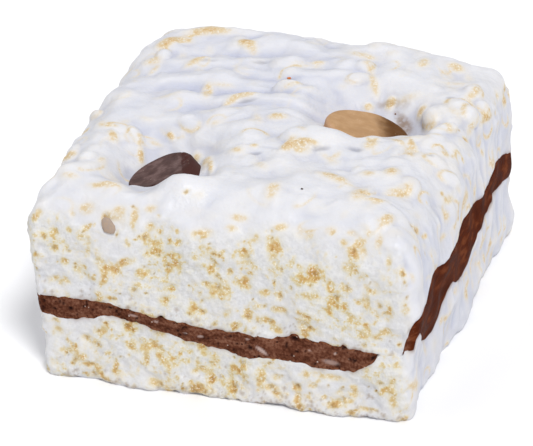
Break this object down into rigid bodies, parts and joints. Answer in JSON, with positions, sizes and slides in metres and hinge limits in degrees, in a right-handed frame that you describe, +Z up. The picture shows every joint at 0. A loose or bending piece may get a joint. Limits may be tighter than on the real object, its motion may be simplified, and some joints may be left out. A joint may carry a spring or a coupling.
{
  "type": "rice crispy treat",
  "caption": "Square puffed rice and marshmallow treat with a chocolate layer through its middle and candy buttons sunk in its lumpy white top.",
  "frame": {"origin": "middle of the flat base", "axes": "+Z up, +X to the right along the cut front face, +Y from the front face to the back"},
  "size_m": [0.0882, 0.089, 0.0478],
  "materials": {
    "crispy_top": "soft white marshmallow over golden puffed rice",
    "crispy_bottom": "cut marshmallow and golden puffed rice",
    "chocolate_layer": "porous dark chocolate",
    "chocolate_button": "satin dark chocolate",
    "caramel_button": "satin tan confectionery"
  },
  "bodies": {
    "root": {"crispy_top": "crispy_top", "crispy_bottom": "crispy_bottom", "chocolate_layer": "chocolate_layer", "chocolate_button": "chocolate_button", "caramel_button": "caramel_button"}
  },
  "joints": []
}
